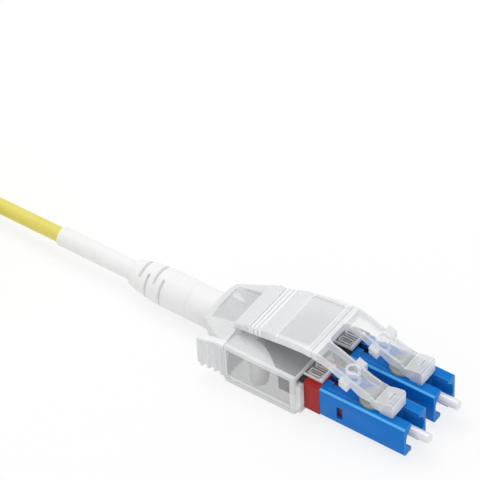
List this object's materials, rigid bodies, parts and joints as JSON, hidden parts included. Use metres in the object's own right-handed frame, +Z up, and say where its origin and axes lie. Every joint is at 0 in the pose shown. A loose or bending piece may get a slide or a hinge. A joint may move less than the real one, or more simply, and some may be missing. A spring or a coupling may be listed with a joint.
{
  "type": "duplex fibre connector",
  "caption": "duplex fibre connector on a patch cord: two sprung-ferrule plug bodies in a clear housing with a press-down latch trigger, a bend-relief boot and a coiled cord",
  "frame": {"origin": "on the housing's flat underside, under the middle of the housing's length and midway between the two ferrules", "axes": "+X points out of the ferrules, +Z is up from the underside to the trigger, -Y is the side with the finger tab"},
  "size_m": [0.0969, 0.0775, 0.0097],
  "materials": {
    "clear_plastic": "clear moulded polycarbonate, lightly frosted",
    "blue_plastic": "smooth moulded plastic",
    "black_plastic": "moulded plastic",
    "red_plastic": "smooth moulded plastic",
    "metal": "plain steel",
    "white_ceramic": "ground zirconia",
    "fibre_buffer": "extruded buffer",
    "pad_plastic": "moulded plastic",
    "white_plastic": "soft moulded plastic",
    "yellow_jacket": "extruded jacket"
  },
  "bodies": {
    "connector": {"anchor_block": "white_plastic", "barrel_left": "black_plastic", "barrel_right": "red_plastic", "boot": "white_plastic", "clear_housing": "clear_plastic", "cord": "yellow_jacket", "cord_coil": "yellow_jacket", "cord_end": "yellow_jacket", "cord_in_boot": "yellow_jacket", "crimp_sleeve": "metal", "far_boot": "white_plastic", "far_ferrule_left": "white_ceramic", "far_ferrule_right": "white_ceramic", "far_housing": "clear_plastic", "far_latch": "clear_plastic", "far_plug_left": "blue_plastic", "far_plug_right": "blue_plastic", "far_ring_left": "black_plastic", "far_ring_right": "red_plastic", "far_sleeve": "white_plastic", "inner_holder": "black_plastic", "latch_foot_left": "clear_plastic", "latch_foot_right": "clear_plastic", "latch_pad_left": "pad_plastic", "latch_pad_right": "pad_plastic", "plug_body_left": "blue_plastic", "plug_body_right": "blue_plastic", "spring_left": "metal", "spring_right": "metal", "tail_sleeve": "white_plastic"},
    "latch": {"latch_arms": "clear_plastic"},
    "trigger": {"trigger_plate": "clear_plastic"},
    "ferrule_left_slider": {"ferrule_left": "white_ceramic", "flange_left": "metal", "fibre_left": "fibre_buffer"},
    "ferrule_right_slider": {"ferrule_right": "white_ceramic", "flange_right": "metal", "fibre_right": "fibre_buffer"}
  },
  "joints": [
    {"name": "latch_flex", "type": "hinge", "parent": "connector", "child": "latch", "pos_m": [0.01432, 0, 0.00595], "axis": [0, -1, 0], "range_deg": [0, 12], "stiffness_Nm_per_rad": 0.02},
    {"name": "trigger_flex", "type": "hinge", "parent": "latch", "child": "trigger", "pos_m": [0.00622, 0, 0.00973], "axis": [0, 1, 0], "range_deg": [0, 20.64]},
    {"name": "ferrule_left_slide", "type": "slide", "parent": "connector", "child": "ferrule_left_slider", "axis": [-1, 0, 0], "range_m": [0, 0.0008], "stiffness_N_per_m": 3000, "deforming": ["spring_left"]},
    {"name": "ferrule_right_slide", "type": "slide", "parent": "connector", "child": "ferrule_right_slider", "axis": [-1, 0, 0], "range_m": [0, 0.0008], "stiffness_N_per_m": 3000, "deforming": ["spring_right"]}
  ],
  "couplings": [
    {"joint": "trigger_flex", "follows": "latch_flex", "ratio": 1.72}
  ]
}
